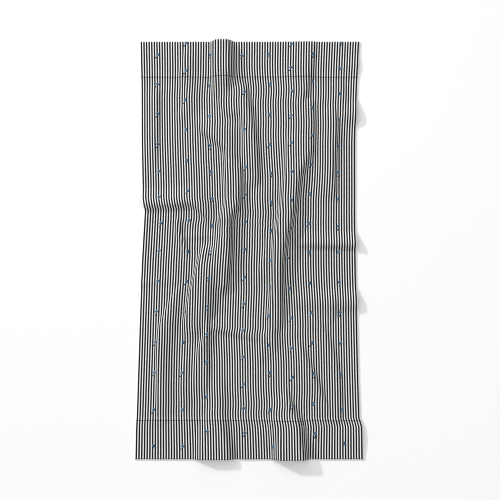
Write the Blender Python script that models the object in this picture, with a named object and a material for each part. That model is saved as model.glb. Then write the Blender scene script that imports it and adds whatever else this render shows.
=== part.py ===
"""A striped beach towel that lies face up on a flat surface, with its folds and its two wide
hems. Metres, +Z up. X runs across the towel, Y along it, and the origin is on the surface,
below the middle of the towel."""

from collections import namedtuple

import bmesh
import bpy
import numpy as np

# The cloth as cut, flat.
CLOTH_WIDTH = 0.930
CLOTH_LENGTH = 1.700
CLOTH_THICK = 0.0020
HEM_DEPTH = 0.150
HEM_THICK = 0.0032
HEM_STEP = 0.012

# The net of threads that the folds bend, the share of the way to its new place that the net
# settles in each round, and the share of its faces that is kept.
NET_PITCH = 0.0066
SETTLING_ROUNDS = 14
SETTLING_SHARE = 0.5
LEAST_RUN = 0.30
KEPT_FACES = 0.078

# How the cloth bends: the length over which it evens out, how folds that meet are blended,
# how round a flank's foot and shoulder are, how little lift still lies flat, the step along
# a fold's curve, and the share of its reach that a fold keeps where it ends.
STIFFNESS = 0.0042
CREST_BLEND = 3.0
CORNER_ROUND = 0.22
LYING_FLAT = 0.0004
RUN_STEP = 0.020
TIP_REACH = 0.6

TOWEL_GREY = (0.25, 0.26, 0.27, 1.0)
TOWEL_ROUGHNESS = 0.92

# Where the two long sides lie at each station along the towel.
Side = namedtuple("Side", "y west east")
SIDES = (
    Side(-0.826, -0.454, 0.447),
    Side(-0.700, -0.453, 0.446),
    Side(-0.665, -0.451, 0.436),
    Side(-0.520, -0.448, 0.433),
    Side(-0.060, -0.438, 0.428),
    Side(0.160, -0.428, 0.428),
    Side(0.210, -0.437, 0.429),
    Side(0.440, -0.444, 0.431),
    Side(0.680, -0.448, 0.442),
    Side(0.860, -0.454, 0.453),
)
FOOT_END = SIDES[0].y
HEAD_END = SIDES[-1].y

# A fold runs from its first stop to its last. Each stop gives the crest's place and height,
# and how far the fold reaches to the left and to the right of someone walking along it.
# Each side has a flank of its own width, and each end dies away over its own length.
# A smooth curve joins the stops.
Stop = namedtuple("Stop", "x y high left right")
Fold = namedtuple("Fold", "fades flanks stops")
FOLDS = {
    "crown": Fold((0.060, 0.050), (0.020, 0.024), (
        Stop(-0.117, 0.650, 0.012, 0.042, 0.046),
        Stop(-0.118, 0.700, 0.023, 0.042, 0.048),
        Stop(-0.115, 0.745, 0.028, 0.043, 0.056),
        Stop(-0.117, 0.880, 0.030, 0.042, 0.048),
    )),
    "collar": Fold((0.050, 0.040), (0.016, 0.018), (
        Stop(-0.054, 0.575, 0.011, 0.062, 0.062),
        Stop(-0.075, 0.625, 0.012, 0.062, 0.064),
        Stop(-0.087, 0.665, 0.008, 0.060, 0.066),
    )),
    "browTop": Fold((0.040, 0.050), (0.110, 0.020), (
        Stop(0.190, 0.600, 0.009, 0.110, 0.040),
        Stop(0.210, 0.660, 0.012, 0.115, 0.040),
        Stop(0.222, 0.720, 0.011, 0.115, 0.040),
        Stop(0.240, 0.850, 0.006, 0.110, 0.040),
    )),
    "brow": Fold((0.070, 0.040), (0.100, 0.020), (
        Stop(0.228, 0.440, 0.010, 0.110, 0.044),
        Stop(0.230, 0.520, 0.012, 0.110, 0.042),
        Stop(0.230, 0.600, 0.010, 0.110, 0.042),
    )),
    "bend": Fold((0.060, 0.050), (0.018, 0.016), (
        Stop(0.012, 0.290, 0.009, 0.050, 0.033),
        Stop(0.006, 0.390, 0.014, 0.044, 0.036),
        Stop(-0.004, 0.480, 0.016, 0.032, 0.034),
        Stop(-0.018, 0.560, 0.016, 0.032, 0.034),
        Stop(-0.034, 0.660, 0.010, 0.032, 0.030),
    )),
    "shoulder": Fold((0.060, 0.090), (0.018, 0.090), (
        Stop(-0.068, 0.350, 0.016, 0.044, 0.058),
        Stop(-0.080, 0.408, 0.019, 0.037, 0.066),
        Stop(-0.112, 0.458, 0.018, 0.042, 0.092),
        Stop(-0.165, 0.500, 0.015, 0.046, 0.092),
    )),
    "spine": Fold((0.050, 0.070), (0.016, 0.020), (
        Stop(-0.098, 0.125, 0.026, 0.040, 0.034),
        Stop(-0.084, 0.158, 0.025, 0.040, 0.036),
        Stop(-0.073, 0.190, 0.023, 0.040, 0.042),
        Stop(-0.070, 0.220, 0.021, 0.039, 0.045),
        Stop(-0.066, 0.330, 0.019, 0.045, 0.046),
    )),
    "northRidge": Fold((0.120, 0.080), (0.050, 0.012), (
        Stop(-0.386, 0.400, 0.005, 0.056, 0.016),
        Stop(-0.382, 0.500, 0.007, 0.056, 0.016),
        Stop(-0.381, 0.620, 0.007, 0.056, 0.016),
    )),
    "westCrease": Fold((0.060, 0.050), (0.056, 0.017), (
        Stop(-0.470, 0.184, 0.018, 0.064, 0.024),
        Stop(-0.290, 0.193, 0.018, 0.062, 0.024),
        Stop(-0.238, 0.199, 0.016, 0.060, 0.026),
        Stop(-0.200, 0.177, 0.015, 0.060, 0.028),
        Stop(-0.140, 0.112, 0.012, 0.050, 0.028),
    )),
    "nip": Fold((0.034, 0.026), (0.010, 0.011), (
        Stop(-0.258, 0.000, 0.006, 0.014, 0.014),
        Stop(-0.270, 0.030, 0.008, 0.014, 0.015),
        Stop(-0.286, 0.068, 0.009, 0.014, 0.015),
        Stop(-0.290, 0.112, 0.008, 0.014, 0.016),
    )),
    "ladder": Fold((0.070, 0.080), (0.050, 0.018), (
        Stop(-0.112, -0.130, 0.019, 0.085, 0.034),
        Stop(-0.103, -0.040, 0.027, 0.085, 0.035),
        Stop(-0.100, 0.052, 0.030, 0.056, 0.034),
        Stop(-0.101, 0.118, 0.027, 0.042, 0.035),
    )),
    "elbow": Fold((0.080, 0.060), (0.016, 0.052), (
        Stop(-0.226, -0.300, 0.014, 0.046, 0.072),
        Stop(-0.212, -0.215, 0.021, 0.046, 0.086),
        Stop(-0.190, -0.080, 0.026, 0.034, 0.085),
        Stop(-0.178, -0.020, 0.020, 0.030, 0.050),
    )),
    "footRidge": Fold((0.090, 0.100), (0.011, 0.054), (
        Stop(-0.350, -0.630, 0.007, 0.025, 0.058),
        Stop(-0.350, -0.540, 0.010, 0.023, 0.058),
        Stop(-0.354, -0.420, 0.012, 0.024, 0.058),
        Stop(-0.346, -0.325, 0.012, 0.025, 0.060),
        Stop(-0.298, -0.210, 0.008, 0.028, 0.056),
    )),
    "ledge": Fold((0.060, 0.060), (0.014, 0.050), (
        Stop(0.048, -0.100, 0.006, 0.027, 0.060),
        Stop(0.068, -0.048, 0.008, 0.027, 0.060),
        Stop(0.086, 0.020, 0.009, 0.027, 0.050),
        Stop(0.064, 0.100, 0.007, 0.027, 0.056),
        Stop(0.048, 0.162, 0.006, 0.027, 0.064),
        Stop(0.036, 0.224, 0.005, 0.027, 0.070),
    )),
    "main": Fold((0.090, 0.080), (0.016, 0.019), (
        Stop(0.100, -0.270, 0.013, 0.036, 0.038),
        Stop(0.107, -0.180, 0.021, 0.030, 0.032),
        Stop(0.110, -0.080, 0.028, 0.029, 0.030),
        Stop(0.120, 0.030, 0.031, 0.035, 0.036),
        Stop(0.140, 0.120, 0.030, 0.038, 0.040),
        Stop(0.156, 0.190, 0.027, 0.039, 0.041),
        Stop(0.172, 0.300, 0.022, 0.043, 0.043),
        Stop(0.188, 0.365, 0.016, 0.050, 0.056),
        Stop(0.206, 0.435, 0.012, 0.060, 0.066),
    )),
    "east": Fold((0.050, 0.050), (0.042, 0.012), (
        Stop(0.326, 0.235, 0.008, 0.050, 0.027),
        Stop(0.324, 0.290, 0.013, 0.050, 0.027),
        Stop(0.324, 0.345, 0.015, 0.050, 0.028),
        Stop(0.327, 0.420, 0.015, 0.050, 0.030),
        Stop(0.331, 0.508, 0.014, 0.050, 0.033),
        Stop(0.329, 0.555, 0.010, 0.050, 0.033),
    )),
    "eastCrease": Fold((0.060, 0.060), (0.046, 0.018), (
        Stop(0.220, 0.028, 0.011, 0.050, 0.025),
        Stop(0.400, 0.025, 0.016, 0.050, 0.025),
        Stop(0.470, 0.024, 0.022, 0.056, 0.028),
    )),
    "lowerCrease": Fold((0.070, 0.060), (0.046, 0.036), (
        Stop(0.200, -0.198, 0.007, 0.050, 0.050),
        Stop(0.330, -0.203, 0.010, 0.050, 0.052),
        Stop(0.400, -0.203, 0.013, 0.052, 0.052),
        Stop(0.470, -0.202, 0.017, 0.058, 0.056),
    )),
    "middleCrease": Fold((0.040, 0.080), (0.044, 0.016), (
        Stop(-0.150, -0.305, 0.012, 0.046, 0.022),
        Stop(-0.070, -0.325, 0.010, 0.045, 0.022),
        Stop(0.010, -0.346, 0.007, 0.044, 0.022),
    )),
    "kink": Fold((0.080, 0.050), (0.016, 0.018), (
        Stop(-0.194, -0.530, 0.007, 0.040, 0.040),
        Stop(-0.190, -0.455, 0.009, 0.034, 0.035),
        Stop(-0.187, -0.400, 0.013, 0.027, 0.029),
        Stop(-0.174, -0.340, 0.018, 0.018, 0.020),
        Stop(-0.175, -0.285, 0.015, 0.020, 0.024),
        Stop(-0.172, -0.225, 0.009, 0.020, 0.024),
    )),
    "heel": Fold((0.050, 0.080), (0.034, 0.034), (
        Stop(-0.139, -0.870, 0.021, 0.084, 0.088),
        Stop(-0.138, -0.790, 0.019, 0.080, 0.084),
        Stop(-0.137, -0.721, 0.014, 0.070, 0.068),
        Stop(-0.131, -0.674, 0.011, 0.056, 0.056),
        Stop(-0.125, -0.616, 0.008, 0.046, 0.046),
        Stop(-0.129, -0.545, 0.005, 0.046, 0.048),
    )),
    "toe": Fold((0.050, 0.060), (0.034, 0.026), (
        Stop(0.163, -0.870, 0.033, 0.076, 0.073),
        Stop(0.162, -0.820, 0.032, 0.076, 0.072),
        Stop(0.156, -0.752, 0.027, 0.072, 0.067),
        Stop(0.146, -0.694, 0.019, 0.074, 0.071),
        Stop(0.126, -0.620, 0.011, 0.056, 0.049),
    )),
    "diagonal": Fold((0.050, 0.060), (0.060, 0.018), (
        Stop(0.298, -0.630, 0.007, 0.060, 0.028),
        Stop(0.261, -0.547, 0.011, 0.064, 0.028),
        Stop(0.220, -0.455, 0.011, 0.060, 0.028),
        Stop(0.202, -0.410, 0.008, 0.050, 0.026),
    )),
    "eastLow": Fold((0.050, 0.050), (0.044, 0.018), (
        Stop(0.341, -0.660, 0.006, 0.046, 0.028),
        Stop(0.343, -0.557, 0.008, 0.046, 0.028),
        Stop(0.332, -0.462, 0.008, 0.046, 0.028),
        Stop(0.313, -0.403, 0.008, 0.046, 0.028),
        Stop(0.282, -0.320, 0.006, 0.042, 0.028),
    )),
    "edgeHigh": Fold((0.080, 0.050), (0.050, 0.046), (
        Stop(0.400, 0.556, 0.010, 0.060, 0.056),
        Stop(0.470, 0.556, 0.018, 0.070, 0.060),
    )),
    "edgeLow": Fold((0.090, 0.050), (0.060, 0.060), (
        Stop(0.395, -0.736, 0.003, 0.070, 0.070),
        Stop(0.470, -0.738, 0.005, 0.080, 0.080),
    )),
}


def clear_scene():
    for thing in list(bpy.data.objects):
        bpy.data.objects.remove(thing, do_unlink=True)


def ease(share):
    """Goes from 0 to 1 with level ends."""
    share = np.clip(share, 0.0, 1.0)
    return share * share * (3.0 - 2.0 * share)


def ramp(share):
    """A straight slope from 0 to 1 with its foot and its shoulder rounded."""
    def area(t):
        return np.where(t < 0.0, 0.0, np.where(t < 1.0, 0.5 * t * t, t - 0.5))

    return (area(share + CORNER_ROUND) - area(share - CORNER_ROUND)) / (2.0 * CORNER_ROUND)


def tip_beyond(stop, inner, fade):
    """The point beyond a fold's end stop where it has sunk to nothing and drawn in."""
    away_x, away_y = stop.x - inner.x, stop.y - inner.y
    share = fade / np.hypot(away_x, away_y)
    return Stop(
        stop.x + share * away_x,
        stop.y + share * away_y,
        0.0,
        TIP_REACH * stop.left,
        TIP_REACH * stop.right,
    )


def run_of(fold):
    """Stops close together on a smooth curve that passes through those of the table."""
    stops = fold.stops
    first = tip_beyond(stops[0], stops[1], fold.fades[0])
    last = tip_beyond(stops[-1], stops[-2], fold.fades[1])
    table = np.array([first, *stops, last])
    place, shape = slice(0, 2), slice(2, 5)
    gaps = np.hypot(*np.diff(table[:, place], axis=0).T)
    knots = np.concatenate([[0.0], np.cumsum(gaps)])

    # The curve's height and width swing no further than the stops do.
    slopes = np.gradient(table, knots, axis=0)
    change = np.diff(table[:, shape], axis=0) / gaps[:, None]
    gentler = np.where(abs(change[:-1]) < abs(change[1:]), change[:-1], change[1:])
    slopes[:, shape] = 0.0
    slopes[1:-1, shape] = np.where(change[:-1] * change[1:] > 0.0, gentler, 0.0)

    at = np.linspace(0.0, knots[-1], 1 + round(knots[-1] / RUN_STEP))
    stretch = np.clip(np.searchsorted(knots, at, side="right") - 1, 0, len(gaps) - 1)
    gap = gaps[stretch][:, None]
    t = (at - knots[stretch])[:, None] / gap
    before, after = table[stretch], table[stretch + 1]
    leave, arrive = slopes[stretch] * gap, slopes[stretch + 1] * gap
    run = before + (after - before) * t * t * (3.0 - 2.0 * t)
    run += leave * t * (1.0 - t) ** 2 - arrive * t * t * (1.0 - t)
    run[:, shape] = np.maximum(run[:, shape], 0.0)
    return [Stop(*row) for row in run]


def between(start, end, share):
    return start + (end - start) * share


def fold_height(fold, all_x, all_y):
    """Height of one fold over each point: the nearest stretch of its run decides."""
    run = run_of(fold)
    margin = max(max(stop.left, stop.right) for stop in run)
    near = (all_x > min(stop.x for stop in run) - margin)
    near &= (all_x < max(stop.x for stop in run) + margin)
    near &= (all_y > min(stop.y for stop in run) - margin)
    near &= (all_y < max(stop.y for stop in run) + margin)
    x, y = all_x[near], all_y[near]

    nearest = np.full(x.shape, np.inf)
    rise = np.zeros(x.shape)
    for start, end in zip(run[:-1], run[1:]):
        run_x, run_y = end.x - start.x, end.y - start.y
        from_x, from_y = x - start.x, y - start.y
        share = np.clip((from_x * run_x + from_y * run_y) / (run_x**2 + run_y**2), 0.0, 1.0)
        off = np.hypot(from_x - share * run_x, from_y - share * run_y)
        on_right = from_x * run_y > from_y * run_x
        left = between(start.left, end.left, share)
        right = between(start.right, end.right, share)
        reach = np.where(on_right, right, left)
        flank = np.minimum(np.where(on_right, fold.flanks[1], fold.flanks[0]), reach)
        slope = between(start.high, end.high, share) * ramp((reach - off) / flank)
        closer = off < nearest
        rise = np.where(closer, slope, rise)
        nearest = np.where(closer, off, nearest)

    height = np.zeros(all_x.shape)
    height[near] = rise
    return height


def soften(height, rounds):
    """The cloth's stiffness: each round evens every thread with its neighbours."""
    for _ in range(rounds):
        padded = np.pad(height, ((1, 1), (0, 0)), mode="edge")
        height = 0.25 * padded[:-2] + 0.5 * padded[1:-1] + 0.25 * padded[2:]
        padded = np.pad(height, ((0, 0), (1, 1)), mode="edge")
        height = 0.25 * padded[:, :-2] + 0.5 * padded[:, 1:-1] + 0.25 * padded[:, 2:]
    return height


def cloth_height(x, y, rounds):
    """Folds that meet run into each other without a crease between them."""
    total = np.zeros(x.shape)
    for fold in FOLDS.values():
        total += fold_height(fold, x, y) ** CREST_BLEND
    height = soften(total ** (1.0 / CREST_BLEND), rounds)
    return np.where(height < LYING_FLAT, 0.0, height - LYING_FLAT)


def spread(steps, start, end, axis):
    """Steps laid one after the other from start, scaled to finish at end."""
    places = np.cumsum(steps, axis)
    total = np.take(places, [-1], axis)
    zero = np.zeros_like(total)
    return start + np.concatenate([zero, places], axis) / total * (end - start)


def laid_net():
    """Where each crossing of the cloth's threads lies. A slope takes up cloth, so the threads
    on it are drawn together in plan, and the two long sides stay where they lie."""
    columns = round(CLOTH_WIDTH / NET_PITCH)
    rows = round(CLOTH_LENGTH / NET_PITCH)
    across = np.linspace(0.0, CLOTH_WIDTH, columns + 1)
    along = np.linspace(0.0, CLOTH_LENGTH, rows + 1)
    share_x, share_y = np.meshgrid(across / CLOTH_WIDTH, along / CLOTH_LENGTH)
    pitch_x, pitch_y = across[1], along[1]
    rounds = round(2.0 * (STIFFNESS / pitch_x) ** 2)

    stations = [side.y for side in SIDES]
    west = [side.west for side in SIDES]
    east = [side.east for side in SIDES]
    y = FOOT_END + (HEAD_END - FOOT_END) * share_y
    x = SIDES[0].west + (SIDES[0].east - SIDES[0].west) * share_x
    for _ in range(SETTLING_ROUNDS):
        height = cloth_height(x, y, rounds)
        row_y = y.mean(axis=1)
        left = np.interp(row_y, stations, west)[:, None]
        right = np.interp(row_y, stations, east)[:, None]
        used = np.diff(height, axis=1) ** 2 + np.diff(y, axis=1) ** 2
        steps = np.sqrt(np.maximum(pitch_x**2 - used, (LEAST_RUN * pitch_x) ** 2))
        x += SETTLING_SHARE * (spread(steps, left, right, 1) - x)
        used = np.diff(height, axis=0) ** 2 + np.diff(x, axis=0) ** 2
        steps = np.sqrt(np.maximum(pitch_y**2 - used, (LEAST_RUN * pitch_y) ** 2))
        y += SETTLING_SHARE * (spread(steps, FOOT_END, HEAD_END, 0) - y)
    return x, y, cloth_height(x, y, rounds)


def towel_material():
    material = bpy.data.materials.new("towelCotton")
    material.use_nodes = True
    shader = material.node_tree.nodes["Principled BSDF"]
    shader.inputs["Base Color"].default_value = TOWEL_GREY
    shader.inputs["Roughness"].default_value = TOWEL_ROUGHNESS
    shader.inputs["Metallic"].default_value = 0.0
    material.diffuse_color = TOWEL_GREY
    return material


def hem_share(along):
    """Share of the hem's thickness at each place along the cloth: 1 in both hems."""
    from_end = np.minimum(along, CLOTH_LENGTH - along)
    single = CLOTH_THICK / HEM_THICK
    return 1.0 - (1.0 - single) * ease((from_end - HEM_DEPTH) / HEM_STEP)


def build_towel():
    x, y, z = laid_net()
    x -= 0.5 * (x.min() + x.max())
    y -= 0.5 * (y.min() + y.max())
    rows, columns = x.shape

    mesh = bpy.data.meshes.new("towel")
    sheet = bmesh.new()
    bmesh.ops.create_grid(sheet, x_segments=columns - 1, y_segments=rows - 1, size=0.5)
    thickness = sheet.verts.layers.deform.verify()
    for vert in sheet.verts:
        column = round((vert.co.x + 0.5) * (columns - 1))
        row = round((vert.co.y + 0.5) * (rows - 1))
        along = CLOTH_LENGTH * row / (rows - 1)
        vert.co = (x[row, column], y[row, column], z[row, column])
        vert[thickness][0] = float(hem_share(along))
    sheet.to_mesh(mesh)
    sheet.free()
    mesh.shade_smooth()

    towel = bpy.data.objects.new("towel", mesh)
    bpy.context.scene.collection.objects.link(towel)
    towel.vertex_groups.new(name="thickness")
    mesh.materials.append(towel_material())

    # Thinning the warped quads of a steep fold overturns a few faces. Thinning triangles doesn't.
    triangles = towel.modifiers.new("triangles", "TRIANGULATE")
    triangles.quad_method = "FIXED"
    thin_out = towel.modifiers.new("thin out", "DECIMATE")
    thin_out.ratio = KEPT_FACES
    body = towel.modifiers.new("body of the cloth", "SOLIDIFY")
    body.thickness = HEM_THICK
    body.offset = 1.0
    body.vertex_group = "thickness"
    return towel


clear_scene()
build_towel()
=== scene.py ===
# A striped beach towel, laid out face up with its folds, on a pale studio floor.
# Metres, +Z up. X runs across the towel and Y along it.
import math
import random
from collections import namedtuple

import bmesh
import bpy
import numpy as np
from mathutils import Matrix, Vector, noise


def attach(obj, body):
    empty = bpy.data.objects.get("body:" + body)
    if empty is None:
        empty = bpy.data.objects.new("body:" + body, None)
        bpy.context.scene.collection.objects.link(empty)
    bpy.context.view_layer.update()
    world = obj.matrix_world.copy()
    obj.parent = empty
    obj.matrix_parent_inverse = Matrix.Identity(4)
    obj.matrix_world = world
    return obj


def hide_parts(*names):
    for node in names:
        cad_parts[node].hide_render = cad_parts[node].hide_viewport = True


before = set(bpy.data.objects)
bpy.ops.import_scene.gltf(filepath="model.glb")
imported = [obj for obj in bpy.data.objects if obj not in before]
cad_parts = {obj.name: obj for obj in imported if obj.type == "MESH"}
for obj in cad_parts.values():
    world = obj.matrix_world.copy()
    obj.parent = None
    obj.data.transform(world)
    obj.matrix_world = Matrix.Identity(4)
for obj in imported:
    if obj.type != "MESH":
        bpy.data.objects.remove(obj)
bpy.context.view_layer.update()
print("frame loaded")


studio = {
    "cameraPlace": (0.0005, -0.263, 2.990),
    "cameraTilt": 4.7,  # degrees from straight down
    "lens": 53.64,
    "sensor": 36.0,
    "skyColour": (1.0, 1.0, 1.0, 1.0),
    "skyStrength": 0.735,
    "sunFrom": (-0.78, 0.62),  # upper left of the photo
    "sunHeight": 18.5,  # degrees above the floor
    "sunSize": 4.0,
    "sunStrength": 2.35,
    "sunAway": 3.0,  # only where it shows in the viewport
    "softPlace": (-1.2, 2.2, 1.6),
    "softSide": 1.2,
    "softPower": 15.0,
    "pixelBlur": 1.05,  # crisp enough to keep the fine stripes apart
    "floorSize": 14.0,
    "floorDrop": 0.0005,
    "floorColour": (0.95, 0.95, 0.95, 1.0),
    "floorDuller": 0.99,
    "floorPatches": 1.5,
    "floorRoughness": 0.9,
}


def sunLight(name, fromWay, height, size, strength):
    light = bpy.data.lights.new(name, "SUN")
    light.energy = strength
    light.angle = math.radians(size)
    lamp = bpy.data.objects.new(name, light)
    level = Vector(fromWay).normalized() * math.cos(math.radians(height))
    toSun = Vector((level.x, level.y, math.sin(math.radians(height))))
    lamp.rotation_euler = toSun.to_track_quat("Z", "Y").to_euler()
    lamp.location = toSun * studio["sunAway"]
    bpy.context.scene.collection.objects.link(lamp)


def makeStudio():
    scene = bpy.context.scene
    scene.view_settings.view_transform = "Standard"
    scene.cycles.filter_width = studio["pixelBlur"]
    camera = bpy.data.objects.new("camera", bpy.data.cameras.new("camera"))
    camera.data.lens = studio["lens"]
    camera.data.sensor_width = studio["sensor"]
    camera.location = studio["cameraPlace"]
    camera.rotation_euler = (math.radians(studio["cameraTilt"]), 0.0, 0.0)
    scene.collection.objects.link(camera)
    scene.camera = camera

    sky = bpy.data.worlds.new("studioSky")
    sky.use_nodes = True
    backdrop = sky.node_tree.nodes["Background"]
    backdrop.inputs["Color"].default_value = studio["skyColour"]
    backdrop.inputs["Strength"].default_value = studio["skyStrength"]
    scene.world = sky

    sunLight("lowSun", studio["sunFrom"], studio["sunHeight"], studio["sunSize"],
             studio["sunStrength"])
    panel = bpy.data.lights.new("softBox", "AREA")
    panel.size = studio["softSide"]
    panel.energy = studio["softPower"]
    box = bpy.data.objects.new("softBox", panel)
    box.location = studio["softPlace"]
    box.rotation_euler = Vector(studio["softPlace"]).to_track_quat("Z", "Y").to_euler()
    scene.collection.objects.link(box)


makeStudio()
print("camera and light set")


def addNode(tree, kind, **settings):
    node = tree.nodes.new(kind)
    for name, value in settings.items():
        setattr(node, name, value)
    return node


def feed(tree, socket, value):
    if isinstance(value, bpy.types.NodeSocket):
        tree.links.new(value, socket)
    else:
        socket.default_value = value


def maths(tree, operation, *values):
    node = addNode(tree, "ShaderNodeMath", operation=operation)
    for socket, value in zip(node.inputs, values):
        feed(tree, socket, value)
    return node.outputs[0]


def smoothRange(tree, value, low, high, toLow=0.0, toHigh=1.0):
    node = addNode(tree, "ShaderNodeMapRange", interpolation_type="SMOOTHSTEP")
    for socket, entry in zip(node.inputs, (value, low, high, toLow, toHigh)):
        feed(tree, socket, entry)
    return node.outputs[0]


def mixColour(tree, share, first, second, blend="MIX"):
    node = addNode(tree, "ShaderNodeMix", data_type="RGBA", blend_type=blend)
    for index, value in ((0, share), (6, first), (7, second)):
        feed(tree, node.inputs[index], value)
    return node.outputs[2]


def noiseOf(tree, place, scale, detail=2.0, rough=0.5):
    node = addNode(tree, "ShaderNodeTexNoise")
    feed(tree, node.inputs["Vector"], place)
    node.inputs["Scale"].default_value = scale
    node.inputs["Detail"].default_value = detail
    node.inputs["Roughness"].default_value = rough
    return node.outputs["Fac"]


def stretched(tree, place, sizes):
    node = addNode(tree, "ShaderNodeVectorMath", operation="MULTIPLY")
    feed(tree, node.inputs[0], place)
    node.inputs[1].default_value = sizes
    return node.outputs[0]


def newGroup(name, inputs, outputs):
    tree = bpy.data.node_groups.new(name, "ShaderNodeTree")
    for label, kind, value in inputs:
        socket = tree.interface.new_socket(label, in_out="INPUT", socket_type=kind)
        if value is not None:
            socket.default_value = value
    for label, kind in outputs:
        tree.interface.new_socket(label, in_out="OUTPUT", socket_type=kind)
    return tree, addNode(tree, "NodeGroupInput").outputs, addNode(tree, "NodeGroupOutput").inputs


def useGroup(tree, group, **values):
    node = addNode(tree, "ShaderNodeGroup", node_tree=group)
    for name, value in values.items():
        feed(tree, node.inputs[name], value)
    return node.outputs


def newMaterial(name, roughness, sheen=0.0, sheenRoughness=0.5, specular=0.10):
    material = bpy.data.materials.new(name)
    material.use_nodes = True
    shader = material.node_tree.nodes["Principled BSDF"]
    shader.inputs["Roughness"].default_value = roughness
    shader.inputs["Metallic"].default_value = 0.0
    shader.inputs["Specular IOR Level"].default_value = specular
    shader.inputs["Sheen Weight"].default_value = sheen
    shader.inputs["Sheen Roughness"].default_value = sheenRoughness
    return material, material.node_tree, shader


def bumpOf(tree, height, depth, strength=1.0, under=None):
    node = addNode(tree, "ShaderNodeBump")
    node.inputs["Distance"].default_value = depth
    node.inputs["Strength"].default_value = strength
    feed(tree, node.inputs["Height"], height)
    if under is not None:
        feed(tree, node.inputs["Normal"], under)
    return node.outputs["Normal"]


# A colour made darker or lighter by a tone that changes over the surface.
def toned(tree, colour, tone):
    grey = addNode(tree, "ShaderNodeCombineColor")
    for socket in grey.inputs[:3]:
        tree.links.new(tone, socket)
    return mixColour(tree, 1.0, colour, grey.outputs[0], "MULTIPLY")


# Each place in a piece's own flat measure, and the two parts of it.
def flatPlace(tree, layer):
    place = addNode(tree, "ShaderNodeUVMap", uv_map=layer).outputs[0]
    parts = addNode(tree, "ShaderNodeSeparateXYZ")
    tree.links.new(place, parts.inputs[0])
    return place, parts.outputs[0], parts.outputs[1]


yarns = {
    "warp": 0.00082,
    "weft": 0.00095,
    "weftHigh": 0.8,  # a weft yarn's top on a crossing, where the warp's is 1
    "dip": 0.5,  # how far a yarn sinks between two crossings
    "napScale": 2600.0,
    "napDetail": 3.0,
    "napRough": 0.7,
    "napHigh": 0.45,
    # Painted shade and light: the weave's valleys darker, its tops a little lighter.
    "paintedValleyShade": 0.88,
    "paintedShadeRise": 0.20,
    "depth": 0.00022,
    "bump": 0.8,
}


def roundYarn(tree, count):
    return maths(tree, "ABSOLUTE", maths(tree, "SINE", maths(tree, "MULTIPLY", count, math.pi)))


# Plain woven yarns: each one passes over and under its neighbours.
def makeWeave():
    tree, given, result = newGroup(
        "plainWeave",
        (("Place", "NodeSocketVector", None), ("Warp", "NodeSocketFloat", yarns["warp"]),
         ("Weft", "NodeSocketFloat", yarns["weft"])),
        (("Height", "NodeSocketFloat"), ("ValleyPaintedShade", "NodeSocketFloat")),
    )
    parts = addNode(tree, "ShaderNodeSeparateXYZ")
    tree.links.new(given["Place"], parts.inputs[0])
    across = maths(tree, "DIVIDE", parts.outputs[0], given["Warp"])
    along = maths(tree, "DIVIDE", parts.outputs[1], given["Weft"])
    warpRound, weftRound = roundYarn(tree, across), roundYarn(tree, along)
    squares = maths(tree, "ADD", maths(tree, "FLOOR", across), maths(tree, "FLOOR", along))
    weftOver = maths(tree, "FLOORED_MODULO", squares, 2.0)
    dip = yarns["dip"]
    warpTop = maths(tree, "MULTIPLY_ADD", weftRound, dip, 1.0 - dip)
    weftTop = maths(tree, "MULTIPLY_ADD", warpRound, dip, yarns["weftHigh"] - dip)
    warpTop = maths(tree, "MULTIPLY", warpRound, warpTop)
    weftTop = maths(tree, "MULTIPLY", weftRound, weftTop)
    change = maths(tree, "SUBTRACT", weftTop, warpTop)
    height = maths(tree, "MULTIPLY_ADD", change, weftOver, warpTop)
    nap = noiseOf(tree, given["Place"], yarns["napScale"], yarns["napDetail"], yarns["napRough"])
    withNap = maths(tree, "MULTIPLY_ADD", nap, yarns["napHigh"], height)
    # Painted shade and light from the yarns' height: darker in the valleys between them, lighter
    # on their tops.
    tone = maths(tree, "MULTIPLY_ADD", height, yarns["paintedShadeRise"], yarns["paintedValleyShade"])
    tree.links.new(withNap, result["Height"])
    tree.links.new(tone, result["ValleyPaintedShade"])
    return tree


weaveGroup = makeWeave()
print("weave made")


towel = {
    "width": 0.930,
    "length": 1.700,
    "thick": 0.0020,
    "hemDepth": 0.150,
    "hemThick": 0.0032,
    "hemStep": 0.012,  # length of the soft step where a hem ends
    "columns": 184,
    "rows": 264,
    "settlingRounds": 14,
    "settlingShare": 0.5,
    "leastRun": 0.30,  # least share of a thread's step that is left in plan
    "stiffness": 0.0042,  # the length over which the cloth evens out
    "crestBlend": 3.0,  # higher lets the tallest of several folds win more sharply
    "cornerRound": 0.22,  # rounding at a flank's foot and shoulder, as a share of the flank
    "lyingFlat": 0.0004,  # what is lower than this lies flat
    "runStep": 0.020,
    "tipReach": 0.6,  # how wide a fold still is where it has sunk to nothing
    "rippleHigh": 0.0014,
    "rippleWide": 0.055,
    "rippleLong": 0.150,
    "rippleFull": 1.3,  # brings the noise up to full waves
    "rippleSeed": 3.7,
}

# Where the two long sides lie at each station along the towel.
side = namedtuple("side", "y west east")
sides = (
    side(-0.826, -0.454, 0.447),
    side(-0.700, -0.453, 0.446),
    side(-0.665, -0.451, 0.436),
    side(-0.520, -0.448, 0.433),
    side(-0.060, -0.438, 0.428),
    side(0.160, -0.428, 0.428),
    side(0.210, -0.437, 0.429),
    side(0.440, -0.444, 0.431),
    side(0.680, -0.448, 0.442),
    side(0.860, -0.454, 0.453),
)

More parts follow.
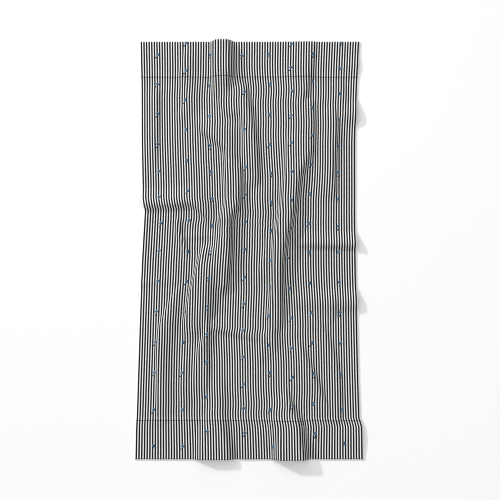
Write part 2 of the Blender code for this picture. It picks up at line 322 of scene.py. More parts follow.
# A fold runs from its first stop to its last. Each stop gives the crest's place and height,
# and how far the fold reaches to the left and to the right of someone walking along it.
# Each side has a flank of its own width, and each end dies away over its own length.
stop = namedtuple("stop", "x y high left right")
fold = namedtuple("fold", "fades flanks stops")
mainFolds = {
    "crown": fold((0.060, 0.050), (0.020, 0.024), (
        stop(-0.117, 0.650, 0.012, 0.042, 0.046),
        stop(-0.118, 0.700, 0.023, 0.042, 0.048),
        stop(-0.115, 0.745, 0.028, 0.043, 0.056),
        stop(-0.117, 0.880, 0.030, 0.042, 0.048),
    )),
    "collar": fold((0.050, 0.040), (0.016, 0.018), (
        stop(-0.054, 0.575, 0.011, 0.062, 0.062),
        stop(-0.075, 0.625, 0.012, 0.062, 0.064),
        stop(-0.087, 0.665, 0.008, 0.060, 0.066),
    )),
    "browTop": fold((0.040, 0.050), (0.110, 0.020), (
        stop(0.190, 0.600, 0.009, 0.110, 0.040),
        stop(0.210, 0.660, 0.012, 0.115, 0.040),
        stop(0.222, 0.720, 0.011, 0.115, 0.040),
        stop(0.240, 0.850, 0.006, 0.110, 0.040),
    )),
    "brow": fold((0.070, 0.040), (0.100, 0.020), (
        stop(0.228, 0.440, 0.010, 0.110, 0.044),
        stop(0.230, 0.520, 0.012, 0.110, 0.042),
        stop(0.230, 0.600, 0.010, 0.110, 0.042),
    )),
    "bend": fold((0.060, 0.050), (0.018, 0.016), (
        stop(0.012, 0.290, 0.009, 0.050, 0.033),
        stop(0.006, 0.390, 0.014, 0.044, 0.036),
        stop(-0.004, 0.480, 0.016, 0.032, 0.034),
        stop(-0.018, 0.560, 0.016, 0.032, 0.034),
        stop(-0.034, 0.660, 0.010, 0.032, 0.030),
    )),
    "shoulder": fold((0.060, 0.090), (0.018, 0.090), (
        stop(-0.068, 0.350, 0.016, 0.044, 0.058),
        stop(-0.080, 0.408, 0.019, 0.037, 0.066),
        stop(-0.112, 0.458, 0.018, 0.042, 0.092),
        stop(-0.165, 0.500, 0.015, 0.046, 0.092),
    )),
    "spine": fold((0.050, 0.070), (0.016, 0.020), (
        stop(-0.098, 0.125, 0.026, 0.040, 0.034),
        stop(-0.084, 0.158, 0.025, 0.040, 0.036),
        stop(-0.073, 0.190, 0.023, 0.040, 0.042),
        stop(-0.070, 0.220, 0.021, 0.039, 0.045),
        stop(-0.066, 0.330, 0.019, 0.045, 0.046),
    )),
    "northRidge": fold((0.120, 0.080), (0.050, 0.012), (
        stop(-0.386, 0.400, 0.005, 0.056, 0.016),
        stop(-0.382, 0.500, 0.007, 0.056, 0.016),
        stop(-0.381, 0.620, 0.007, 0.056, 0.016),
    )),
    "westCrease": fold((0.060, 0.050), (0.056, 0.017), (
        stop(-0.470, 0.184, 0.018, 0.064, 0.024),
        stop(-0.290, 0.193, 0.018, 0.062, 0.024),
        stop(-0.238, 0.199, 0.016, 0.060, 0.026),
        stop(-0.200, 0.177, 0.015, 0.060, 0.028),
        stop(-0.140, 0.112, 0.012, 0.050, 0.028),
    )),
    "nip": fold((0.034, 0.026), (0.010, 0.011), (
        stop(-0.258, 0.000, 0.006, 0.014, 0.014),
        stop(-0.270, 0.030, 0.008, 0.014, 0.015),
        stop(-0.286, 0.068, 0.009, 0.014, 0.015),
        stop(-0.290, 0.112, 0.008, 0.014, 0.016),
    )),
    "ladder": fold((0.070, 0.080), (0.050, 0.018), (
        stop(-0.112, -0.130, 0.019, 0.085, 0.034),
        stop(-0.103, -0.040, 0.027, 0.085, 0.035),
        stop(-0.100, 0.052, 0.030, 0.056, 0.034),
        stop(-0.101, 0.118, 0.027, 0.042, 0.035),
    )),
    "elbow": fold((0.080, 0.060), (0.016, 0.052), (
        stop(-0.226, -0.300, 0.014, 0.046, 0.072),
        stop(-0.212, -0.215, 0.021, 0.046, 0.086),
        stop(-0.190, -0.080, 0.026, 0.034, 0.085),
        stop(-0.178, -0.020, 0.020, 0.030, 0.050),
    )),
    "footRidge": fold((0.090, 0.100), (0.011, 0.054), (
        stop(-0.350, -0.630, 0.007, 0.025, 0.058),
        stop(-0.350, -0.540, 0.010, 0.023, 0.058),
        stop(-0.354, -0.420, 0.012, 0.024, 0.058),
        stop(-0.346, -0.325, 0.012, 0.025, 0.060),
        stop(-0.298, -0.210, 0.008, 0.028, 0.056),
    )),
    "ledge": fold((0.060, 0.060), (0.014, 0.050), (
        stop(0.048, -0.100, 0.006, 0.027, 0.060),
        stop(0.068, -0.048, 0.008, 0.027, 0.060),
        stop(0.086, 0.020, 0.009, 0.027, 0.050),
        stop(0.064, 0.100, 0.007, 0.027, 0.056),
        stop(0.048, 0.162, 0.006, 0.027, 0.064),
        stop(0.036, 0.224, 0.005, 0.027, 0.070),
    )),
    "main": fold((0.090, 0.080), (0.016, 0.019), (
        stop(0.100, -0.270, 0.013, 0.036, 0.038),
        stop(0.107, -0.180, 0.021, 0.030, 0.032),
        stop(0.110, -0.080, 0.028, 0.029, 0.030),
        stop(0.120, 0.030, 0.031, 0.035, 0.036),
        stop(0.140, 0.120, 0.030, 0.038, 0.040),
        stop(0.156, 0.190, 0.027, 0.039, 0.041),
        stop(0.172, 0.300, 0.022, 0.043, 0.043),
        stop(0.188, 0.365, 0.016, 0.050, 0.056),
        stop(0.206, 0.435, 0.012, 0.060, 0.066),
    )),
    "east": fold((0.050, 0.050), (0.042, 0.012), (
        stop(0.326, 0.235, 0.008, 0.050, 0.027),
        stop(0.324, 0.290, 0.013, 0.050, 0.027),
        stop(0.324, 0.345, 0.015, 0.050, 0.028),
        stop(0.327, 0.420, 0.015, 0.050, 0.030),
        stop(0.331, 0.508, 0.014, 0.050, 0.033),
        stop(0.329, 0.555, 0.010, 0.050, 0.033),
    )),
    "eastCrease": fold((0.060, 0.060), (0.046, 0.018), (
        stop(0.220, 0.028, 0.011, 0.050, 0.025),
        stop(0.400, 0.025, 0.016, 0.050, 0.025),
        stop(0.470, 0.024, 0.022, 0.056, 0.028),
    )),
    "lowerCrease": fold((0.070, 0.060), (0.046, 0.036), (
        stop(0.200, -0.198, 0.007, 0.050, 0.050),
        stop(0.330, -0.203, 0.010, 0.050, 0.052),
        stop(0.400, -0.203, 0.013, 0.052, 0.052),
        stop(0.470, -0.202, 0.017, 0.058, 0.056),
    )),
    "middleCrease": fold((0.040, 0.080), (0.044, 0.016), (
        stop(-0.150, -0.305, 0.012, 0.046, 0.022),
        stop(-0.070, -0.325, 0.010, 0.045, 0.022),
        stop(0.010, -0.346, 0.007, 0.044, 0.022),
    )),
    "kink": fold((0.080, 0.050), (0.016, 0.018), (
        stop(-0.194, -0.530, 0.007, 0.040, 0.040),
        stop(-0.190, -0.455, 0.009, 0.034, 0.035),
        stop(-0.187, -0.400, 0.013, 0.027, 0.029),
        stop(-0.174, -0.340, 0.018, 0.018, 0.020),
        stop(-0.175, -0.285, 0.015, 0.020, 0.024),
        stop(-0.172, -0.225, 0.009, 0.020, 0.024),
    )),
    "heel": fold((0.050, 0.080), (0.034, 0.034), (
        stop(-0.139, -0.870, 0.021, 0.084, 0.088),
        stop(-0.138, -0.790, 0.019, 0.080, 0.084),
        stop(-0.137, -0.721, 0.014, 0.070, 0.068),
        stop(-0.131, -0.674, 0.011, 0.056, 0.056),
        stop(-0.125, -0.616, 0.008, 0.046, 0.046),
        stop(-0.129, -0.545, 0.005, 0.046, 0.048),
    )),
    "toe": fold((0.050, 0.060), (0.034, 0.026), (
        stop(0.163, -0.870, 0.033, 0.076, 0.073),
        stop(0.162, -0.820, 0.032, 0.076, 0.072),
        stop(0.156, -0.752, 0.027, 0.072, 0.067),
        stop(0.146, -0.694, 0.019, 0.074, 0.071),
        stop(0.126, -0.620, 0.011, 0.056, 0.049),
    )),
    "diagonal": fold((0.050, 0.060), (0.060, 0.018), (
        stop(0.298, -0.630, 0.007, 0.060, 0.028),
        stop(0.261, -0.547, 0.011, 0.064, 0.028),
        stop(0.220, -0.455, 0.011, 0.060, 0.028),
        stop(0.202, -0.410, 0.008, 0.050, 0.026),
    )),
    "eastLow": fold((0.050, 0.050), (0.044, 0.018), (
        stop(0.341, -0.660, 0.006, 0.046, 0.028),
        stop(0.343, -0.557, 0.008, 0.046, 0.028),
        stop(0.332, -0.462, 0.008, 0.046, 0.028),
        stop(0.313, -0.403, 0.008, 0.046, 0.028),
        stop(0.282, -0.320, 0.006, 0.042, 0.028),
    )),
    "edgeHigh": fold((0.080, 0.050), (0.050, 0.046), (
        stop(0.400, 0.556, 0.010, 0.060, 0.056),
        stop(0.470, 0.556, 0.018, 0.070, 0.060),
    )),
    "edgeLow": fold((0.090, 0.050), (0.060, 0.060), (
        stop(0.395, -0.736, 0.003, 0.070, 0.070),
        stop(0.470, -0.738, 0.005, 0.080, 0.080),
    )),
}

# The low creases that only the finer cloth of the scene carries, on top of the main folds.
fineFolds = {
    "northWest": fold((0.030, 0.040), (0.016, 0.060), (
        stop(-0.286, 0.540, 0.006, 0.020, 0.064),
        stop(-0.266, 0.575, 0.007, 0.020, 0.064),
        stop(-0.250, 0.616, 0.008, 0.020, 0.064),
        stop(-0.254, 0.658, 0.007, 0.020, 0.064),
        stop(-0.276, 0.710, 0.006, 0.020, 0.064),
        stop(-0.264, 0.757, 0.008, 0.020, 0.064),
        stop(-0.258, 0.800, 0.006, 0.020, 0.064),
    )),
    "weakMiddle": fold((0.040, 0.040), (0.014, 0.050), (
        stop(-0.266, -0.610, 0.004, 0.019, 0.054),
        stop(-0.262, -0.530, 0.006, 0.019, 0.054),
        stop(-0.260, -0.450, 0.005, 0.019, 0.054),
    )),
    "dimple": fold((0.024, 0.030), (0.012, 0.012), (
        stop(0.160, -0.625, 0.008, 0.014, 0.016),
        stop(0.150, -0.596, 0.011, 0.014, 0.016),
        stop(0.146, -0.570, 0.007, 0.014, 0.016),
    )),
    "nipFoot": fold((0.030, 0.040), (0.030, 0.014), (
        stop(-0.256, 0.052, 0.005, 0.032, 0.016),
        stop(-0.150, 0.056, 0.005, 0.032, 0.016),
    )),
    "westLow": fold((0.050, 0.060), (0.036, 0.022), (
        stop(-0.470, -0.132, 0.006, 0.038, 0.026),
        stop(-0.360, -0.128, 0.004, 0.038, 0.026),
    )),
    "topRight": fold((0.050, 0.050), (0.030, 0.030), (
        stop(0.380, 0.760, 0.003, 0.040, 0.040),
        stop(0.450, 0.760, 0.004, 0.040, 0.040),
    )),
    "rightHigh": fold((0.050, 0.050), (0.050, 0.022), (
        stop(0.382, 0.620, 0.006, 0.052, 0.026),
        stop(0.372, 0.670, 0.005, 0.052, 0.026),
    )),
    "rightMiddle": fold((0.040, 0.040), (0.040, 0.016), (
        stop(0.330, -0.260, 0.006, 0.040, 0.020),
        stop(0.334, -0.200, 0.005, 0.040, 0.020),
    )),
    "lowMiddle": fold((0.030, 0.040), (0.016, 0.040), (
        stop(0.252, -0.300, 0.006, 0.020, 0.044),
        stop(0.250, -0.270, 0.005, 0.020, 0.044),
    )),
    "mainFoot": fold((0.030, 0.040), (0.016, 0.040), (
        stop(0.096, -0.380, 0.007, 0.020, 0.044),
        stop(0.084, -0.320, 0.008, 0.020, 0.044),
    )),
    "centreLow": fold((0.060, 0.050), (0.018, 0.050), (
        stop(0.046, -0.410, 0.005, 0.022, 0.054),
        stop(0.060, -0.350, 0.006, 0.022, 0.054),
    )),
}


def ease(share):
    share = np.clip(share, 0.0, 1.0)
    return share * share * (3.0 - 2.0 * share)


# A straight slope from 0 to 1 with its foot and its shoulder rounded.
def ramp(share):
    rounding = towel["cornerRound"]

    def area(t):
        return np.where(t < 0.0, 0.0, np.where(t < 1.0, 0.5 * t * t, t - 0.5))

    return (area(share + rounding) - area(share - rounding)) / (2.0 * rounding)


# Where a fold has sunk to nothing beyond its end stop.
def tipBeyond(end, inner, fade):
    awayX, awayY = end.x - inner.x, end.y - inner.y
    share = fade / np.hypot(awayX, awayY)
    tipX, tipY = end.x + share * awayX, end.y + share * awayY
    reach = towel["tipReach"]
    return stop(tipX, tipY, 0.0, reach * end.left, reach * end.right)


# Stops close together on a smooth curve through those of the table.
def runOf(shape):
    stops = shape.stops
    first = tipBeyond(stops[0], stops[1], shape.fades[0])
    last = tipBeyond(stops[-1], stops[-2], shape.fades[1])
    table = np.array([first, *stops, last])
    place, form = slice(0, 2), slice(2, 5)
    gaps = np.hypot(*np.diff(table[:, place], axis=0).T)
    knots = np.concatenate([[0.0], np.cumsum(gaps)])
    slopes = np.gradient(table, knots, axis=0)
    change = np.diff(table[:, form], axis=0) / gaps[:, None]
    gentler = np.where(abs(change[:-1]) < abs(change[1:]), change[:-1], change[1:])
    slopes[:, form] = 0.0
    slopes[1:-1, form] = np.where(change[:-1] * change[1:] > 0.0, gentler, 0.0)

    at = np.linspace(0.0, knots[-1], 1 + round(knots[-1] / towel["runStep"]))
    stretch = np.clip(np.searchsorted(knots, at, side="right") - 1, 0, len(gaps) - 1)
    gap = gaps[stretch][:, None]
    t = (at - knots[stretch])[:, None] / gap
    before, after = table[stretch], table[stretch + 1]
    run = before + (after - before) * t * t * (3.0 - 2.0 * t)
    run += slopes[stretch] * gap * t * (1.0 - t) ** 2
    run -= slopes[stretch + 1] * gap * t * t * (1.0 - t)
    run[:, form] = np.maximum(run[:, form], 0.0)
    return [stop(*row) for row in run]


def between(start, end, share):
    return start + (end - start) * share


# Height of one fold over each point: the nearest stretch of its run decides.
def foldHeight(shape, allX, allY):
    run = runOf(shape)
    margin = max(max(point.left, point.right) for point in run)
    near = (allX > min(point.x for point in run) - margin)
    near &= (allX < max(point.x for point in run) + margin)
    near &= (allY > min(point.y for point in run) - margin)
    near &= (allY < max(point.y for point in run) + margin)
    x, y = allX[near], allY[near]
    nearest = np.full(x.shape, np.inf)
    rise = np.zeros(x.shape)
    for start, end in zip(run[:-1], run[1:]):
        runX, runY = end.x - start.x, end.y - start.y
        fromX, fromY = x - start.x, y - start.y
        share = np.clip((fromX * runX + fromY * runY) / (runX**2 + runY**2), 0.0, 1.0)
        off = np.hypot(fromX - share * runX, fromY - share * runY)
        onRight = fromX * runY > fromY * runX
        left = between(start.left, end.left, share)
        right = between(start.right, end.right, share)
        reach = np.where(onRight, right, left)
        flank = np.minimum(np.where(onRight, shape.flanks[1], shape.flanks[0]), reach)
        slope = between(start.high, end.high, share) * ramp((reach - off) / flank)
        closer = off < nearest
        rise = np.where(closer, slope, rise)
        nearest = np.where(closer, off, nearest)
    height = np.zeros(allX.shape)
    height[near] = rise
    return height


# The cloth's stiffness: each round evens every thread with its neighbours.
def soften(height, rounds):
    for _ in range(rounds):
        padded = np.pad(height, ((1, 1), (0, 0)), mode="edge")
        height = 0.25 * padded[:-2] + 0.5 * padded[1:-1] + 0.25 * padded[2:]
        padded = np.pad(height, ((0, 0), (1, 1)), mode="edge")
        height = 0.25 * padded[:, :-2] + 0.5 * padded[:, 1:-1] + 0.25 * padded[:, 2:]
    return height


def clothHeight(x, y, rounds):
    total = np.zeros(x.shape)
    for shape in mainFolds.values():
        total += foldHeight(shape, x, y) ** towel["crestBlend"]
    height = total ** (1.0 / towel["crestBlend"])
    for shape in fineFolds.values():
        height += foldHeight(shape, x, y)
    height = soften(height, rounds)
    return np.where(height < towel["lyingFlat"], 0.0, height - towel["lyingFlat"])


def spread(steps, start, end, axis):
    places = np.cumsum(steps, axis)
    total = np.take(places, [-1], axis)
    zero = np.zeros_like(total)
    return start + np.concatenate([zero, places], axis) / total * (end - start)


# Low waves all over the cloth, longer along it than across.
def ripples(x, y):
    wide, long, seed = towel["rippleWide"], towel["rippleLong"], towel["rippleSeed"]
    waves = [noise.noise(Vector((a / wide, b / long, seed))) for a, b in zip(x.flat, y.flat)]
    waves = np.array(waves).reshape(x.shape) * towel["rippleFull"]
    share = 0.5 + 0.5 * np.clip(waves, -1.0, 1.0)
    return towel["rippleHigh"] * share * share


# A slope takes up cloth, so the threads on it are drawn together in plan.
def laidNet():
    columns, rows = towel["columns"], towel["rows"]
    across = np.linspace(0.0, towel["width"], columns + 1)
    along = np.linspace(0.0, towel["length"], rows + 1)
    shareX, shareY = np.meshgrid(across / towel["width"], along / towel["length"])
    pitchX, pitchY = across[1], along[1]
    rounds = round(2.0 * (towel["stiffness"] / pitchX) ** 2)
    settling = towel["settlingShare"]
    stations = [station.y for station in sides]
    west = [station.west for station in sides]
    east = [station.east for station in sides]
    y = stations[0] + (stations[-1] - stations[0]) * shareY
    x = west[0] + (east[0] - west[0]) * shareX
    for _ in range(towel["settlingRounds"]):
        height = clothHeight(x, y, rounds)
        rowY = y.mean(axis=1)
        left = np.interp(rowY, stations, west)[:, None]
        right = np.interp(rowY, stations, east)[:, None]
        used = np.diff(height, axis=1) ** 2 + np.diff(y, axis=1) ** 2
        least = (towel["leastRun"] * pitchX) ** 2
        x += settling * (spread(np.sqrt(np.maximum(pitchX**2 - used, least)), left, right, 1) - x)
        used = np.diff(height, axis=0) ** 2 + np.diff(x, axis=0) ** 2
        least = (towel["leastRun"] * pitchY) ** 2
        steps = np.sqrt(np.maximum(pitchY**2 - used, least))
        y += settling * (spread(steps, stations[0], stations[-1], 0) - y)
    z = clothHeight(x, y, rounds) + ripples(x, y)
    x -= 0.5 * (x.min() + x.max())
    y -= 0.5 * (y.min() + y.max())
    return np.stack([x, y, z], axis=2)


# Share of the hem's thickness at each place along the cloth: 1 in both hems.
def hemShare(along):
    fromEnd = np.minimum(along, towel["length"] - along)
    single = towel["thick"] / towel["hemThick"]
    return 1.0 - (1.0 - single) * ease((fromEnd - towel["hemDepth"]) / towel["hemStep"])


def newPiece(name, shape, materials):
    mesh = bpy.data.meshes.new(name)
    shape.to_mesh(mesh)
    shape.free()
    mesh.shade_smooth()
    for material in materials:
        mesh.materials.append(material)
    piece = bpy.data.objects.new(name, mesh)
    bpy.context.scene.collection.objects.link(piece)
    return piece


cotton = {
    "roughness": 0.92,
    "sheen": 0.015,
    "sheenRoughness": 0.6,
    "pitch": 0.01066,
    "firstDark": 0.00662,  # middle of the first dark stripe, from the west selvedge
    "darkHalf": 0.00336,
    "edgeSoft": 0.00030,
    "wander": 0.0005,
    "wanderScale": (1400.0, 90.0, 1.0),
    "pale": (0.955, 0.940, 0.910, 1.0),
    "paleCool": (0.965, 0.957, 0.945, 1.0),
    "patchScale": 5.0,
    "dark": (0.0048, 0.0082, 0.0125, 1.0),
    "darkWorn": (0.010, 0.015, 0.021, 1.0),
    "wearFrom": 0.35,
    "wearTo": 0.85,
    "slubScale": (1220.0, 160.0, 1.0),
    "slubDetail": 3.0,
    "slubRough": 0.6,
    "slubTone": 0.06,
    # painted shade: cloth that slopes steeply across the stripes is made darker
    "slantPaintedShade": -0.42,
}

hemLine = {
    # The first three give painted shade: a dark band along each line of stitches.
    "shade": 0.60,
    "paintedShadeFrom": 0.0008,
    "paintedShadeTo": 0.0032,
    "grooveWide": 0.0035,
    "grooveHigh": 0.7,
    "gatherLong": 0.020,
    "gatherHigh": 1.6,
    "gatherScale": (95.0, 22.0, 1.0),
    "depth": 0.0010,
}


# The stripes, in the cloth's own flat measure. Yarns wander a little, so the stripes' edges do.
def stripesOf(tree, place, across, slubs):
    wander = noiseOf(tree, stretched(tree, place, cotton["wanderScale"]), 1.0)
    stray = maths(tree, "MULTIPLY_ADD", wander, cotton["wander"], -0.5 * cotton["wander"])
    fromFirst = maths(tree, "SUBTRACT", maths(tree, "ADD", across, stray), cotton["firstDark"])
    phase = maths(tree, "DIVIDE", fromFirst, cotton["pitch"])
    offMiddle = maths(tree, "SUBTRACT", phase, maths(tree, "ROUND", phase))
    offMiddle = maths(tree, "MULTIPLY", maths(tree, "ABSOLUTE", offMiddle), cotton["pitch"])
    half, soft = cotton["darkHalf"], cotton["edgeSoft"]
    isDark = smoothRange(tree, offMiddle, half - soft, half + soft, 1.0, 0.0)

    patches = noiseOf(tree, place, cotton["patchScale"])
    pale = mixColour(tree, patches, cotton["pale"], cotton["paleCool"])
    wear = smoothRange(tree, slubs, cotton["wearFrom"], cotton["wearTo"])
    dark = mixColour(tree, wear, cotton["dark"], cotton["darkWorn"])
    return mixColour(tree, isDark, pale, dark)


# How far each place lies from the nearer line of stitches.
def fromHemLine(tree, along):
    half = 0.5 * towel["length"]
    fromMiddle = maths(tree, "ABSOLUTE", maths(tree, "SUBTRACT", along, half))
    off = maths(tree, "SUBTRACT", fromMiddle, half - towel["hemDepth"])
    return maths(tree, "ABSOLUTE", off)


def makeCotton():
    material, tree, shader = newMaterial(
        "stripedCotton", cotton["roughness"], cotton["sheen"], cotton["sheenRoughness"])
    place, across, along = flatPlace(tree, "flatCloth")
    slubPlace = stretched(tree, place, cotton["slubScale"])
    slubs = noiseOf(tree, slubPlace, 1.0, cotton["slubDetail"], cotton["slubRough"])
    colour = stripesOf(tree, place, across, slubs)
    weave = useGroup(tree, weaveGroup, Place=place, Warp=yarns["warp"], Weft=yarns["weft"])
    fromSeam = fromHemLine(tree, along)

    # Painted shade between the yarns, on steep slopes across the stripes and in a band along each
    # seam; the slubs vary the tone at random.
    change = cotton["slubTone"]
    slubTone = maths(tree, "MULTIPLY_ADD", slubs, change, 1.0 - 0.5 * change)
    slant = addNode(tree, "ShaderNodeAttribute", attribute_name="slant").outputs["Fac"]
    # Painted shade on steep slopes, read from the cloth's lean across itself.
    slopePaintedShade = maths(tree, "MULTIPLY_ADD", slant, cotton["slantPaintedShade"], 1.0)
    # Painted shade in a band along each line of stitches.
    seamPaintedShade = smoothRange(
        tree, fromSeam, hemLine["paintedShadeFrom"], hemLine["paintedShadeTo"], hemLine["shade"], 1.0)
    tone = weave["ValleyPaintedShade"]
    for part in (slubTone, slopePaintedShade, seamPaintedShade):
        tone = maths(tree, "MULTIPLY", tone, part)
    tree.links.new(toned(tree, colour, tone), shader.inputs["Base Color"])

    # The seam draws the cloth in along the stitches, in small gathers.
    groove = smoothRange(tree, fromSeam, 0.0, hemLine["grooveWide"])
    drawnIn = smoothRange(tree, fromSeam, 0.0, hemLine["gatherLong"], 1.0, 0.0)
    gathers = noiseOf(tree, stretched(tree, place, hemLine["gatherScale"]), 1.0, 1.0)
    gathers = maths(tree, "MULTIPLY", gathers, drawnIn)
    groove = maths(tree, "MULTIPLY", groove, hemLine["grooveHigh"])
    seamHeight = maths(tree, "MULTIPLY_ADD", gathers, hemLine["gatherHigh"], groove)
    seamNormal = bumpOf(tree, seamHeight, hemLine["depth"])
    clothNormal = bumpOf(tree, weave["Height"], yarns["depth"], yarns["bump"], seamNormal)
    tree.links.new(clothNormal, shader.inputs["Normal"])
    return material


# A grid of places on the cloth's upper face, with the way across and the way out.
class ClothFace:
    def __init__(self, net):
        across = np.gradient(net, axis=1)
        along = np.gradient(net, axis=0)
        out = np.cross(across, along)
        self.across = across / np.linalg.norm(across, axis=2, keepdims=True)
        self.out = out / np.linalg.norm(out, axis=2, keepdims=True)
        rows = np.linspace(0.0, towel["length"], net.shape[0])
        thick = towel["hemThick"] * hemShare(rows)
        self.top = net + self.out * thick[:, None, None]

    # The frame of a small piece laid on the cloth at these flat places, turned about its middle.
    def frameAt(self, across, along, turn):
        column = across / towel["width"] * towel["columns"]
        row = along / towel["length"] * towel["rows"]
        left = min(max(int(column), 0), towel["columns"] - 1)
        low = min(max(int(row), 0), towel["rows"] - 1)
        a, b = column - left, row - low

        def read(grid):
            lower = grid[low, left] * (1.0 - a) + grid[low, left + 1] * a
            upper = grid[low + 1, left] * (1.0 - a) + grid[low + 1, left + 1] * a
            return Vector(lower * (1.0 - b) + upper * b)

        out = read(self.out).normalized()
        way = read(self.across)
        way = (way - out * way.dot(out)).normalized()
        turned = Matrix((way, out.cross(way), out)).transposed().to_4x4()
        place = Matrix.Translation(read(self.top))
        return place @ turned @ Matrix.Rotation(turn, 4, "Z")


def makeCloth(net, upper):
    columns, rows = towel["columns"], towel["rows"]
    sheet = bmesh.new()
    bmesh.ops.create_grid(sheet, x_segments=columns, y_segments=rows, size=0.5)
    thickness = sheet.verts.layers.deform.verify()
    slant = sheet.verts.layers.float.new("slant")  # how steeply the cloth leans across itself
    flat = sheet.loops.layers.uv.new("flatCloth")
    cell = {vert: (round((vert.co.x + 0.5) * columns), round((vert.co.y + 0.5) * rows))
            for vert in sheet.verts}
    for face in sheet.faces:
        for loop in face.loops:
            column, row = cell[loop.vert]
            loop[flat].uv = (towel["width"] * column / columns, towel["length"] * row / rows)
    for vert, (column, row) in cell.items():
        vert.co = net[row, column]
        vert[thickness][0] = float(hemShare(towel["length"] * row / rows))
        vert[slant] = abs(float(upper.out[row, column, 0]))
    cloth = newPiece("cloth", sheet, [makeCotton()])
    cloth.vertex_groups.new(name="thickness")
    body = cloth.modifiers.new("body of the cloth", "SOLIDIFY")
    body.thickness = towel["hemThick"]
    body.offset = 1.0
    body.vertex_group = "thickness"
    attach(cloth, "root")
    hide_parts("towel")
    return cloth


thread = {
    "sheen": 0.25,
    "sheenRoughness": 0.4,
    "lean": 0.35,  # how much the strands run across, for each step along
    "strandHigh": 0.00012,
    "bump": 0.7,
    "paintedValleyShade": 0.62,
    "paintedShadeRise": 0.45,
    "patchScale": 30.0,
    "patchFrom": 0.35,
    "patchTo": 0.65,
}


def makeThread(name, colour, other, roughness, twist):
    material, tree, shader = newMaterial(
        name, roughness, thread["sheen"], thread["sheenRoughness"])
    _, along, across = flatPlace(tree, "thread")
    lean = maths(tree, "MULTIPLY", across, twist * thread["lean"])
    turns = maths(tree, "MULTIPLY_ADD", along, twist, lean)
    strands = maths(tree, "ABSOLUTE", maths(tree, "SINE", turns))
    objectPlace = addNode(tree, "ShaderNodeTexCoord").outputs["Object"]
    patches = noiseOf(tree, objectPlace, thread["patchScale"], 1.0)
    patches = smoothRange(tree, patches, thread["patchFrom"], thread["patchTo"])
    base = mixColour(tree, patches, colour, other)
    # Painted shade and light: darker between the strands, lighter on them.
    tone = maths(tree, "MULTIPLY_ADD", strands, thread["paintedShadeRise"], thread["paintedValleyShade"])
    tree.links.new(toned(tree, base, tone), shader.inputs["Base Color"])
    threadNormal = bumpOf(tree, strands, thread["strandHigh"], thread["bump"])
    tree.links.new(threadNormal, shader.inputs["Normal"])
    return material


# Blender numbers a ball's parts anew in each run, so they are put in order by their places.
def inOrder(parts, placeOf):
    return sorted(parts, key=lambda part: [round(value, 3) for value in placeOf(part)])


# One padded stitch or petal: a flat ball, with its flat sizes as its UV map.
def addPad(shape, uvLayer, place, long, wide, high, slot, segments=6, rings=4):
    made = bmesh.ops.create_uvsphere(shape, u_segments=segments, v_segments=rings, radius=1.0)
    verts = inOrder(made["verts"], lambda vert: vert.co)
    faces = {face for vert in verts for face in vert.link_faces}
    faces = inOrder(faces, lambda face: face.calc_center_median())
    local = {vert: (vert.co.x * long * 0.5, vert.co.y * wide * 0.5) for vert in verts}
    sized = Matrix.Diagonal((long * 0.5, wide * 0.5, high * 0.5, 1.0))
    bmesh.ops.transform(shape, matrix=place @ sized, verts=verts)
    for face in faces:
        face.material_index = slot
        for loop in face.loops:
            loop[uvLayer].uv = local[loop.vert]
    return verts, faces


def renumber(sequence, parts):
    for index, part in enumerate(parts):
        part.index = index
    sequence.sort()


# Pads are made in small blocks and joined, which is quicker than one growing mesh.
def joinedPads(pads, blockSize=60):
    whole = bmesh.new()
    for start in range(0, len(pads), blockSize):
        block = bmesh.new()
        uvLayer = block.loops.layers.uv.new("thread")
        verts, faces = [], []
        for pad in pads[start:start + blockSize]:
            padVerts, padFaces = addPad(block, uvLayer, *pad)
            verts += padVerts
            faces += padFaces
        renumber(block.verts, verts)
        renumber(block.faces, faces)
        mesh = bpy.data.meshes.new("block")
        block.to_mesh(mesh)
        block.free()
        whole.from_mesh(mesh)
        bpy.data.meshes.remove(mesh)
    return whole


seam = {
    "long": 0.0030,
    "gap": 0.0011,
    "wide": 0.0014,
    "high": 0.0009,
    "sideMargin": 0.0030,
    "uneven": 0.0002,
    "unevenTurn": 0.06,
    "colour": (0.020, 0.022, 0.025, 1.0),
    "roughness": 0.7,
    "twist": 4200.0,
    "seed": 11,
}


def makeStitches(face):
    colour = seam["colour"]
    material = makeThread("seamThread", colour, colour, seam["roughness"], seam["twist"])
    chance = random.Random(seam["seed"])
    pads = []
    step = seam["long"] + seam["gap"]
    for along in (towel["hemDepth"], towel["length"] - towel["hemDepth"]):
        across = seam["sideMargin"] + 0.5 * seam["long"]
        while across < towel["width"] - seam["sideMargin"] - 0.5 * seam["long"]:
            off = chance.uniform(-1.0, 1.0) * seam["uneven"]
            turn = chance.uniform(-seam["unevenTurn"], seam["unevenTurn"])
            place = face.frameAt(across, along + off, turn)
            pads.append((place, seam["long"], seam["wide"], seam["high"], 0))
            across += step
    stitches = newPiece("hemStitches", joinedPads(pads), [material])
    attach(stitches, "root")
    return stitches


sprigs = {
    "scale": 1.0,
    "turn": 0.30,
    "unevenTurn": 0.35,
    "unevenPlace": 0.0015,
    "blue": (0.046, 0.114, 0.204, 1.0),
    "blueLight": (0.105, 0.200, 0.315, 1.0),
    "roughness": 0.55,
    "stem": (0.034, 0.066, 0.100, 1.0),
    "stemRoughness": 0.6,
    "twist": 5200.0,
    "sideMargin": 0.004,
    "seed": 23,
}

# A sprig, in metres from the middle of its head: petals, then stem and leaf.
pad = namedtuple("pad", "x y long wide high turn slot")
sprigPads = (
    pad(0.0012, 0.0032, 0.0092, 0.0078, 0.0018, 70.0, 0),
    pad(-0.0032, 0.0006, 0.0086, 0.0074, 0.0018, 160.0, 0),
    pad(0.0034, -0.0010, 0.0084, 0.0076, 0.0018, 350.0, 0),
    pad(-0.0006, -0.0034, 0.0080, 0.0072, 0.0016, 80.0, 0),
    pad(-0.0052, -0.0084, 0.0070, 0.0018, 0.0010, 50.0, 1),
    pad(-0.0092, -0.0118, 0.0080, 0.0054, 0.0012, 40.0, 1),
)

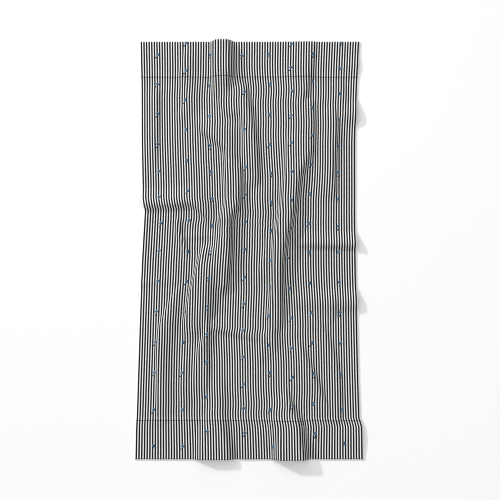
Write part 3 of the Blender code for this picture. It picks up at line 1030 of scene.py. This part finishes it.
# Columns of sprigs: the place across, and the places along at the foot end, at the
# named rows between and at the head end, in millimetres. Rows in between are evenly spaced.
sprigColumn = namedtuple("sprigColumn", "across rows first third seventh eleventh last")
sprigColumns = (
    sprigColumn(72, 14, 51, 338, 826, 1271, 1645),
    sprigColumn(190, 14, 51, 337, 822, 1330, 1696),
    sprigColumn(292, 14, 108, 382, 823, 1261, 1644),
    sprigColumn(445, 14, 102, 294, 722, 1171, 1641),
    sprigColumn(556, 14, 51, 339, 792, 1266, 1645),
    sprigColumn(648, 14, 210, 439, 918, 1390, 1690),
    sprigColumn(737, 14, 98, 335, 820, 1305, 1648),
    sprigColumn(856, 15, 63, 331, 825, 1262, 1696),
)


# Where each sprig of a column lies along the towel.
def placesOf(column):
    named = (0, 2, 6, 10, column.rows - 1)
    places = (column.first, column.third, column.seventh, column.eleventh, column.last)
    return [float(np.interp(row, named, places)) / 1000.0 for row in range(column.rows)]


def keptInside(value, whole):
    return min(max(value, sprigs["sideMargin"]), whole - sprigs["sideMargin"])


def makeSprigs(face):
    stem, twist = sprigs["stem"], sprigs["twist"]
    blue = makeThread("sprigBlueThread", sprigs["blue"], sprigs["blueLight"],
                      sprigs["roughness"], twist)
    dark = makeThread("sprigStemThread", stem, stem, sprigs["stemRoughness"], twist)
    chance = random.Random(sprigs["seed"])
    size = sprigs["scale"]
    pads = []
    for column in sprigColumns:
        for along in placesOf(column):
            along += chance.uniform(-1.0, 1.0) * sprigs["unevenPlace"]
            across = column.across / 1000.0 + chance.uniform(-1.0, 1.0) * sprigs["unevenPlace"]
            turn = sprigs["turn"] + chance.uniform(-1.0, 1.0) * sprigs["unevenTurn"]
            for part in sprigPads:
                offX = size * (part.x * math.cos(turn) - part.y * math.sin(turn))
                offY = size * (part.x * math.sin(turn) + part.y * math.cos(turn))
                inX = keptInside(across + offX, towel["width"])
                inY = keptInside(along + offY, towel["length"])
                place = face.frameAt(inX, inY, turn + math.radians(part.turn))
                pads.append((place, size * part.long, size * part.wide, part.high, part.slot))
    flowers = newPiece("sprigs", joinedPads(pads), [blue, dark])
    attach(flowers, "root")
    return flowers


def makeFloor():
    material, tree, shader = newMaterial("paleFloor", studio["floorRoughness"])
    place = addNode(tree, "ShaderNodeTexCoord").outputs["Object"]
    shade = noiseOf(tree, place, studio["floorPatches"])
    colour = studio["floorColour"]
    duller = tuple(value * studio["floorDuller"] for value in colour[:3]) + (1.0,)
    tree.links.new(mixColour(tree, shade, duller, colour), shader.inputs["Base Color"])
    shape = bmesh.new()
    bmesh.ops.create_grid(shape, x_segments=1, y_segments=1, size=0.5 * studio["floorSize"])
    bmesh.ops.translate(shape, vec=(0.0, 0.0, -studio["floorDrop"]), verts=shape.verts)
    floor = newPiece("floor", shape, [material])


net = laidNet()
upperFace = ClothFace(net)
cloth = makeCloth(net, upperFace)
print("cloth laid")
stitches = makeStitches(upperFace)
print("hems stitched")
flowers = makeSprigs(upperFace)
print("sprigs stitched")
makeFloor()
